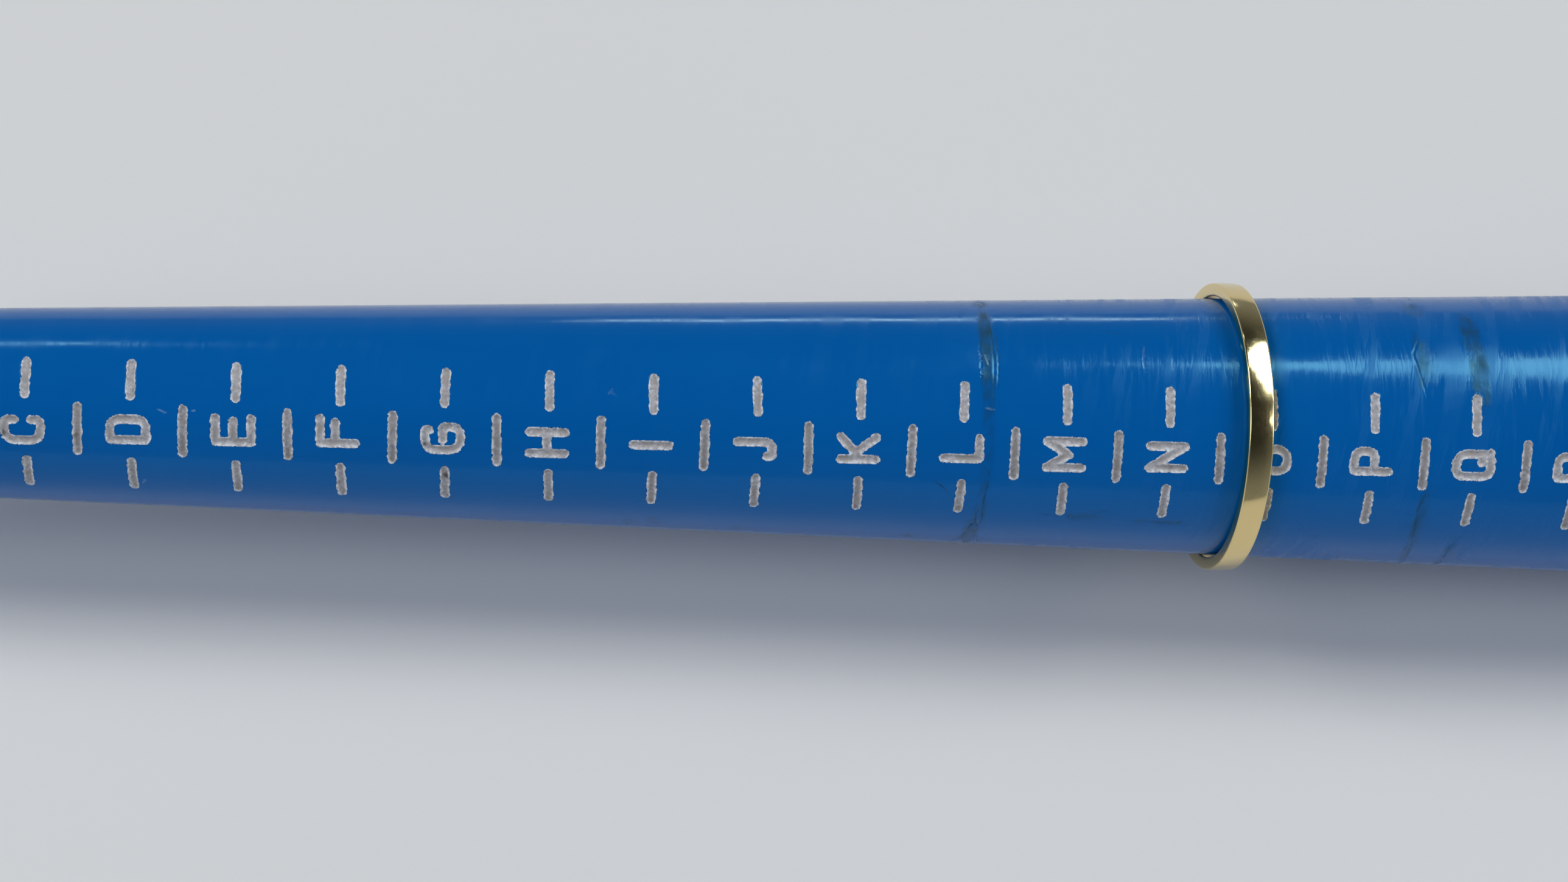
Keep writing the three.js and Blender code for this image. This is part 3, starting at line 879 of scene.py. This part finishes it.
class Skin:
    """The gauge's outer surface as it grows cell by cell, with the paint that lies in its marks."""

    SLOPE = CIRCUMFERENCE_STEP / (2 * math.pi * SIZE_PITCH)

    def __init__(self):
        self.vertices = []
        self.normals = []
        self.grime = []
        self.chip = []
        self.faces = []
        self.shared = {}
        self.paint = {kind: ([], [], [], []) for kind in ENGRAINED}

    def vertex(self, station, angle, depth=0.0, grime=0.0, chip=0.0, plain=False):
        """Adds a vertex. A plain one takes the cone's own normal."""
        self.vertices.append(place(station, angle, radius_at(station) + depth))
        self.normals.append(outward(angle, self.SLOPE) if plain else Vector())
        self.grime.append(grime)
        self.chip.append(chip)
        return len(self.vertices) - 1

    def border_vertex(self, station, angle):
        """A vertex that neighbouring cells, and the two sides of the seam, have in common."""
        turn = round(angle / (2 * math.pi) * AROUND * 8) % (AROUND * 8)
        key = (round(station, 4), turn)
        if key not in self.shared:
            smear = smear_at(station, angle * radius_at(station))
            self.shared[key] = self.vertex(station, angle, grime=smear, plain=True)
        return self.shared[key]

    def add_point(self, point, facts):
        station, around = point
        if "angle" in facts:
            return self.border_vertex(station, facts["angle"])
        angle = around / radius_at(station)
        smear = smear_at(station, around)
        if "level" in facts:
            outermost = facts["level"] == len(MARK_RINGS) - 1
            depth = MARK_RINGS[facts["level"]][1]
            return self.vertex(station, angle, depth, 0.6 * smear, plain=outermost)
        if "depth" in facts:
            depth = facts["depth"]
            grime = max(smear, facts["grime"])
            return self.vertex(station, angle, depth, grime, facts["chip"], depth == 0.0 and smear < 0.05)
        if "smeared" in facts:
            flake = -0.030 * smear * (0.5 + noise.noise(Vector((station * 4.0, around * 2.2, 7.0))))
            return self.vertex(station, angle, min(flake, 0.0), smear, plain=smear < 0.05)
        return self.vertex(station, angle, grime=smear, plain=True)

    def add_cell(self, start, end, marks):
        cell = Cell(start, end, marks)
        middle = radius_at((start + end) / 2)
        flat = []
        for (station, around), facts in zip(cell.points, cell.facts):
            angle = facts.get("angle", around / radius_at(station))
            flat.append(Vector((station, angle * middle)))
        _, _, triangles, sources, _, _ = geometry.delaunay_2d_cdt(flat, [], [], 0, 1e-7)
        numbers = [self.add_point(p, f) for p, f in zip(cell.points, cell.facts)]
        inked = {kind: [] for kind in self.paint}
        for triangle in triangles:
            corners = [sources[i][0] for i in triangle]
            self.faces.append([numbers[i] for i in reversed(corners)])
            kinds = {cell.facts[i].get("kind") for i in corners}
            levels = [cell.facts[i].get("level", 99) for i in corners]
            if max(levels) <= PAINT_EDGE and len(kinds) == 1:
                inked[kinds.pop()].append(corners)
        for kind, filled in inked.items():
            self.add_paint(kind, cell, filled)

    def add_paint(self, kind, cell, triangles):
        """A closed skin of paint over some of a cell's triangles, from just above the engraving."""
        vertices, faces, rim_paleness_and_highlight, dirts = self.paint[kind]
        used = sorted({i for corners in triangles for i in corners})
        first = len(vertices)
        top = {source: first + 2 * n for n, source in enumerate(used)}
        for source in used:
            station, around = cell.points[source]
            _, depth, height, _, pale = MARK_RINGS[cell.facts[source]["level"]]
            angle = around / radius_at(station)
            grit = 0.010 * ragged(station * 1.7, around * 1.7, 21)
            dirty = noise.noise(Vector((station * 1.3, around * 1.3, 5.0)))
            for lift in (height + grit, depth + 0.003):
                vertices.append(place(station, angle, radius_at(station) + lift))
                # The edge rings' paleness is partly a painted highlight where the groove walls catch the
                # light.
                rim_paleness_and_highlight.append(pale * (0.85 + 0.3 * ragged(station, around, 33)))
                dirts.append(min(max(3.0 * (dirty - 0.52), ENGRAINED[kind]), 0.9) * (1 - 0.6 * pale))
        edges = []
        for a, b, c in triangles:
            faces.append([top[c], top[b], top[a]])
            faces.append([top[a] + 1, top[b] + 1, top[c] + 1])
            edges += [(a, b), (b, c), (c, a)]
        inner = set(edges)
        for a, b in edges:
            if (b, a) not in inner:
                faces.append([top[a], top[b], top[b] + 1, top[a] + 1])

    def close_inside(self):
        """The shoulder, tail and bore, so that the tube is one closed solid."""
        section = [
            (GAUGE_END, TAIL_RADIUS), (TAIL_END, TAIL_RADIUS), (TAIL_END, INSERT_RADIUS),
            (INSERT_START, INSERT_RADIUS), (INSERT_START, radius_at(INSERT_START) - GAUGE_WALL),
            (NOSE_STEM_END, NOSE_BORE), (TUBE_START, NOSE_BORE),
        ]
        angles = [line_angle(i) for i in range(AROUND)]
        rings = [[self.border_vertex(GAUGE_END, a) for a in angles]]
        for station, radius in section:
            depth = radius - radius_at(station)
            rings.append([self.vertex(station, a, depth) for a in angles])
        rings.append([self.border_vertex(TUBE_START, a) for a in angles])
        for here, there in zip(rings, rings[1:]):
            for i in range(AROUND):
                j = (i + 1) % AROUND
                self.faces.append([here[i], here[j], there[j], there[i]])


def set_attribute(piece, name, values):
    piece.data.attributes.new(name, "FLOAT", "POINT").data.foreach_set("value", values)


def make_gauge():
    """The gauge's skin and the three paint pieces."""
    skin = Skin()
    skin.add_cell(TUBE_START, FIRST_CELL_AT, [])
    for index in range(len(LETTERS)):
        start = FIRST_CELL_AT + index * SIZE_PITCH
        skin.add_cell(start, start + SIZE_PITCH, marks_of(index))
    skin.add_cell(FIRST_CELL_AT + len(LETTERS) * SIZE_PITCH, GAUGE_END, [])
    outside = len(skin.faces)
    skin.close_inside()
    piece = new_piece("gauge_tube_skin", skin.vertices, skin.faces, "gauge_plastic", 50, "gauge_tube")
    set_attribute(piece, "grime", skin.grime)
    set_attribute(piece, "chip", skin.chip)
    wanted = []
    for polygon in piece.data.polygons:
        is_outside = polygon.index < outside
        wanted += [skin.normals[v] if is_outside else Vector() for v in polygon.vertices]
    piece.data.normals_split_custom_set(wanted)
    for kind, (vertices, faces, rim_paleness_and_highlight, dirts) in skin.paint.items():
        paint = new_piece(kind, vertices, faces, "mark_infill", 60)
        # The rim attribute carries the pale paint edges, partly a painted highlight of the lit groove walls.
        set_attribute(paint, "rim", rim_paleness_and_highlight)
        set_attribute(paint, "dirt", dirts)


make_gauge()


# ---------------------------------------------------------------- turned and moulded pieces

def add_turned(node, profile, slot, around=FINE_ROUND, limit=None, smooth_angle=32.0):
    """A turned piece that stands for a CAD node."""
    vertices, faces = revolve(profile, around, limit)
    return new_piece(node + "_fine", vertices, faces, slot, smooth_angle, node)


def make_nose_cap():
    """The domed plug at the small end, with a faint ring at its middle where its mould was filled."""
    back = TUBE_START - FACE_GAP
    dome_end = back - 0.25
    edge = radius_at(back)
    stem = NOSE_BORE - FIT_GAP
    flat = 2.2
    profile = [(0.0, 0.0), (0.0, 0.9), (0.08, 1.0), (0.0, 1.12)]
    profile += arc(dome_end, flat, dome_end, edge - flat, -90, 0, 24)
    profile += [(back - 0.12, edge), (back, edge - 0.10), (back, stem), (NOSE_STEM_END - 0.5, stem),
                (NOSE_STEM_END, stem - 0.5), (NOSE_STEM_END, 0.0)]
    add_turned("nose_cap", profile, "gauge_plastic", 192, smooth_angle=40)


def make_collar():
    """The turned collar with its eight flats, cut right through by the hole for the locking pin."""
    corner = HANDLE_CORNER
    bore = TAIL_RADIUS + FIT_GAP
    bevel = 1.5
    low = corner - bevel
    front, back = COLLAR_START, COLLAR_END
    groove = [(-0.42, corner), (-0.30, 14.88), (-0.18, 14.66), (0.18, 14.66), (0.30, 14.88), (0.42, corner)]
    profile = [(front, bore + 0.3), (front, low - 0.15), (front + 0.15, low)]
    profile += line((front + 0.3, low + 0.15), (front + bevel, corner), 6)
    for groove_at in (front + 3.1, back - 3.1):
        profile += [(groove_at + along, radius) for along, radius in groove]
    profile += line((back - bevel, corner), (back - 0.3, low + 0.15), 6)
    profile += [(back - 0.15, low), (back, low - 0.15), (back, bore + 0.3), (back - 0.3, bore),
                (front + 0.3, bore)]
    collar = add_turned("anti_roll_collar", profile, "aluminium", limit=eight_sided, smooth_angle=25)
    cut_pin_hole(collar, 25)


def stood_on_pin_axis(profile, around):
    """A solid turned round the middle of the locking pin, upright, as its vertices and faces."""
    vertices, faces = revolve(profile, around)
    pin_x = (PIN_AT + NOSE_X) * MM
    axis_z = AXIS_HEIGHT * MM
    return [Vector((pin_x - (v.z - axis_z), v.y, axis_z + v.x - NOSE_X * MM)) for v in vertices], faces


def cut_pin_hole(piece, smooth_angle):
    """Cuts the locking pin's hole through a piece, past both of its sides."""
    past = 20
    profile = [(-past, 0), (-past, PIN_HOLE), (past, PIN_HOLE), (past, 0)]
    vertices, faces = stood_on_pin_axis(profile, 64)
    drill = bpy.data.meshes.new("drill")
    drill.from_pydata([tuple(v) for v in vertices], [], faces)
    cutter = bpy.data.objects.new("drill", drill)
    bpy.context.scene.collection.objects.link(cutter)
    cut = piece.modifiers.new("pin_hole", "BOOLEAN")
    cut.object = cutter
    cut.operation = "DIFFERENCE"
    cut.solver = "EXACT"
    shape = bpy.data.meshes.new_from_object(piece.evaluated_get(bpy.context.evaluated_depsgraph_get()))
    piece.modifiers.clear()
    piece.data = shape
    shape.set_sharp_from_angle(angle=math.radians(smooth_angle))
    bpy.data.objects.remove(cutter)


def make_locking_pin():
    """A steel pin with rounded ends and a centre mark in each."""
    low, high = node_box("locking_pin")
    half = (high.z - low.z) / 2
    radius = (high.x - low.x) / 2
    end = [(half - 0.30, 0.0), (half - 0.30, 0.25), (half - 0.02, 0.55), (half, 0.62), (half, radius - 0.28),
           (half - 0.05, radius - 0.12), (half - 0.15, radius - 0.03), (half - 0.30, radius)]
    profile = [(-station, r) for station, r in end] + end[::-1]
    vertices, faces = stood_on_pin_axis(profile, 48)
    new_piece("locking_pin_fine", vertices, faces, "steel", 40, "locking_pin")


def make_grip():
    """The eight-sided moulded grip: rounded ends, five finger grooves, and its sockets inside."""
    corner = HANDLE_CORNER
    face, rounding = 14.0, 5.0
    groove_pitch, groove_reach, groove_depth = 12.0, 1.6, 1.95
    front, back = GRIP_START, GRIP_END
    middle = (COLLAR_END + GRIP_END) / 2
    outside = arc(front + rounding, face, rounding, corner - face, -90, 0, 16)
    for i in range(5):
        at = middle + (i - 2) * groove_pitch
        outside += line((outside[-1][0] + 0.3, corner), (at - 1.9, corner), 3)
        for step in range(17):
            k = -1 + step / 8
            depth = groove_depth * (0.5 + 0.5 * math.cos(math.pi * k)) ** 0.75
            outside.append((at + groove_reach * k, corner - depth))
    outside += line((outside[-1][0] + 0.3, corner), (back - rounding - 0.2, corner), 3)
    outside += arc(back - rounding, face, rounding, corner - face, 0, 90, 16)
    socket, socket_end = TAIL_RADIUS + FIT_GAP, TAIL_END + FACE_GAP
    well_floor = WASHER_START - FACE_GAP
    inside = [(back, WELL_RADIUS + 0.4), (back - 0.4, WELL_RADIUS), (well_floor, WELL_RADIUS),
              (well_floor, BOLT_HOLE), (socket_end, BOLT_HOLE), (socket_end, socket), (front + 0.3, socket),
              (front, socket + 0.3)]
    add_turned("grip_handle", outside + inside, "grip_plastic", limit=eight_sided, smooth_angle=38)


def make_butt_cap():
    """The domed plug over the nut, with a shallow ring and a moulding gate mark at its middle."""
    stem, face, rim, flat = WELL_RADIUS - FIT_GAP, GRIP_END + FACE_GAP, 13.0, 8.0
    ring = [(0.0, 7.2), (0.12, 7.0), (0.35, 6.9), (0.45, 6.7),
            (0.45, 6.4), (0.35, 6.2), (0.12, 6.1), (0.0, 5.9)]
    gate = [(0.0, 1.3), (0.12, 1.1), (0.20, 0.9), (0.20, 0.35), (0.06, 0.25), (0.02, 0.0)]
    profile = [(CAP_STEM_START, 0.0), (CAP_STEM_START, stem - 0.6), (CAP_STEM_START + 0.6, stem),
               (face, stem), (face, rim - 0.15), (face + 0.15, rim)]
    profile += arc(face, flat, CAP_END - face, rim - flat, 8, 90, 22)
    profile += [(CAP_END - depth, radius) for depth, radius in ring + gate]
    add_turned("butt_cap", profile, "grip_plastic", 240, smooth_angle=40)


def make_bolt():
    """The through bolt, with its thread cut at both ends."""
    pitch, crest, root, around = 1.0, 3.0, 2.45, 32
    rings = int((BOLT_END - BOLT_START) / pitch * 8)
    threads = [(BOLT_START, BOLT_START + 12), (WASHER_START, BOLT_END)]
    vertices = []
    for row in range(rings + 1):
        station = BOLT_START + (BOLT_END - BOLT_START) * row / rings
        threaded = any(low <= station <= high for low, high in threads)
        at_end = min(station - BOLT_START, BOLT_END - station)
        for i in range(around):
            angle = 2 * math.pi * i / around
            wave = abs(2 * ((station / pitch - angle / (2 * math.pi)) % 1) - 1)
            radius = root + (crest - root) * min(1.0, 1.4 * wave) if threaded else crest - 0.05
            vertices.append(place(station, angle, min(radius, 2.3 + at_end)))
    faces = ring_faces(rings + 1, around, False)
    faces.append(tuple(reversed([(-i) % around for i in range(around)])))
    faces.append(tuple(rings * around + i for i in range(around)))
    new_piece("through_bolt_fine", vertices, faces, "steel", 60, "through_bolt")


def six_sided(angle, radius):
    """The radius of a turned section cut by the six flats of a nut, outside its hole."""
    side = math.pi / 3
    off_flat = (angle + SCALE_ELEVATION + side / 2) % side - side / 2
    return min(radius, NUT_ACROSS / 2 / math.cos(off_flat)) if radius > 3.5 else radius


def make_nut_and_washer():
    """The plated nut with its chamfered corners, and the washer that spreads its load on the grip."""
    hole, corner, face = THREAD_HOLE, 5.75, 4.85
    nut = [(NUT_START, hole + 0.3), (NUT_START, face), (NUT_START + 0.45, corner), (NUT_END - 0.45, corner),
           (NUT_END, face), (NUT_END, hole + 0.3), (NUT_END - 0.3, hole), (NUT_START + 0.3, hole)]
    add_turned("bolt_nut", nut, "steel", 180, six_sided, 25)
    washer = [(WASHER_START, 3.2), (WASHER_START, 7.85), (WASHER_START + 0.15, 8.0), (WASHER_END - 0.3, 8.0),
              (WASHER_END - 0.1, 7.92), (WASHER_END, 7.7), (WASHER_END, 3.3), (WASHER_END - 0.1, 3.2)]
    add_turned("bolt_washer", washer, "steel", 128, smooth_angle=25)


def make_insert():
    """The brass insert in the gauge's tail, with two retaining grooves and a blind bore for the bolt."""
    outer, start, end = INSERT_RADIUS - FIT_GAP, INSERT_START + FACE_GAP, TAIL_END
    bore_floor = BOLT_START - FACE_GAP
    profile = [(start, 0.0), (start, outer - 0.5), (start + 0.5, outer)]
    for groove_at in (start + 7, end - 7):
        profile += [(groove_at - 0.8, outer), (groove_at - 0.6, outer - 0.5), (groove_at + 0.6, outer - 0.5),
                    (groove_at + 0.8, outer)]
    profile += [(end - 0.3, outer), (end, outer - 0.3), (end, 3.5), (end - 0.45, THREAD_HOLE),
                (bore_floor, THREAD_HOLE), (bore_floor, 0.0)]
    add_turned("threaded_insert", profile, "brass", 96, smooth_angle=25)


def make_band():
    """The plain band, D-shaped in section with rolled edges, leaning where it stops on the taper."""
    half = BAND_HALF_WIDTH
    widest = radius_at(BAND_AT + half + BAND_OUTER * math.sin(BAND_LEAN))
    bore = (widest + half * math.tan(BAND_LEAN)) / math.cos(BAND_LEAN) + 0.03
    crown, roll, ease = 0.03, 0.13, 0.18
    section = arc(-half + roll, BAND_OUTER - crown - roll, roll, roll, -90, -10, 7)
    for step in range(13):
        k = -1 + step / 6
        section.append((k * (half - roll), BAND_OUTER - crown * abs(k) ** 2.2))
    section += arc(half - roll, BAND_OUTER - crown - roll, roll, roll, 10, 90, 7)
    section += arc(half - ease, bore + ease, ease, ease, 90, 180, 5)
    section += arc(ease - half, bore + ease, ease, ease, 180, 270, 5)
    vertices, faces = revolve([(s + station_of(0), r) for s, r in section], 384)
    lean_axis = Vector((0, math.sin(BAND_LEAN_ELEVATION), math.cos(BAND_LEAN_ELEVATION)))
    lean = Matrix.Rotation(BAND_LEAN, 3, lean_axis)
    centre = Vector((0, 0, AXIS_HEIGHT * MM))
    shift = Vector(((BAND_AT + NOSE_X) * MM, 0, 0))
    leaning = [lean @ (v - centre) + centre + shift for v in vertices]
    new_piece("gold_band_fine", leaning, faces, "gold", 30, "gold_band", "band")


make_nose_cap()
make_collar()
make_locking_pin()
make_grip()
make_butt_cap()
make_bolt()
make_nut_and_washer()
make_insert()
make_band()


# ---------------------------------------------------------------- camera, floor and light

def make_camera():
    """The camera, near the gauge and above its front, looking down on sizes C to R."""
    camera = bpy.data.objects.new("camera", bpy.data.cameras.new("camera"))
    camera.data.lens = CAMERA_LENS
    camera.data.sensor_width = 36.0
    camera.data.clip_start = 0.005
    turn = (CAMERA_AIM - CAMERA_AT).to_track_quat("-Z", "Y").to_matrix().to_4x4()
    camera.matrix_world = Matrix.Translation(CAMERA_AT) @ turn @ Matrix.Rotation(CAMERA_ROLL, 4, "Z")
    bpy.context.scene.collection.objects.link(camera)
    bpy.context.scene.camera = camera


def make_floor():
    corners = [(x * FLOOR_SIZE, y * FLOOR_SIZE, 0) for x, y in ((-1, -1), (1, -1), (1, 1), (-1, 1))]
    mesh = bpy.data.meshes.new("floor")
    mesh.from_pydata(corners, [], [(0, 1, 2, 3)])
    mesh.materials.append(paper())
    floor = bpy.data.objects.new("floor", mesh)
    bpy.context.scene.collection.objects.link(floor)


def area_light(name, at, size, power, tint, reflection_only=False):
    """A soft rectangular light at a place, facing the mandrel."""
    light = bpy.data.lights.new(name, "AREA")
    light.shape = "RECTANGLE"
    light.size, light.size_y = size
    light.energy = power
    light.color = tint
    lamp = bpy.data.objects.new(name, light)
    lamp.location = at
    lamp.rotation_euler = (-Vector(at)).to_track_quat("-Z", "Y").to_euler()
    lamp.visible_diffuse = not reflection_only
    bpy.context.scene.collection.objects.link(lamp)


def make_lights():
    """Soft lights high at both sides, and windows that show in the gloss."""
    for side, name in ((-1, "left"), (1, "right")):
        area_light("key_" + name, (side * 1.0, 0.19, 1.0), (0.45, 0.70), 7.2, KEY_TINT)
        area_light("fill_" + name, (side * 1.0, -0.45, 0.95), (0.50, 0.70), 4.0, FILL_TINT)
    area_light("window", (0.585, 0.43, 1.14), (0.80, 0.60), 17.0, WINDOW_TINT, True)
    area_light("far_window", (-0.455, 0.88, 0.895), (0.12, 0.08), 0.38, WINDOW_TINT, True)
    area_light("strip", (0.0, 1.0, 0.165), (0.24, 0.045), 0.35, WINDOW_TINT, True)


def make_world():
    """A room with pale walls at both sides, a paler floor line, and little light overhead."""
    n = Nodes(bpy.data.worlds.new("room"))
    direction = n.make("ShaderNodeTexCoord").outputs["Generated"]
    split = n.make("ShaderNodeSeparateXYZ", Vector=direction).outputs
    walls = n.ramp(n.math("ABSOLUTE", split["X"]), 0.35, 0.85, 0.02, 0.24, "SMOOTHSTEP")
    level = n.ramp(n.math("ABSOLUTE", split["Z"]), 0.00, 0.75, 0.24, 0.01, "SMOOTHSTEP")
    background = n.tree.nodes["Background"]
    n.feed(background.inputs["Color"], ROOM_COLOUR)
    n.feed(background.inputs["Strength"], n.math("ADD", walls, level))
    bpy.context.scene.world = n.owner


make_camera()
make_floor()
make_lights()
make_world()
bpy.context.scene.view_settings.view_transform = "Standard"
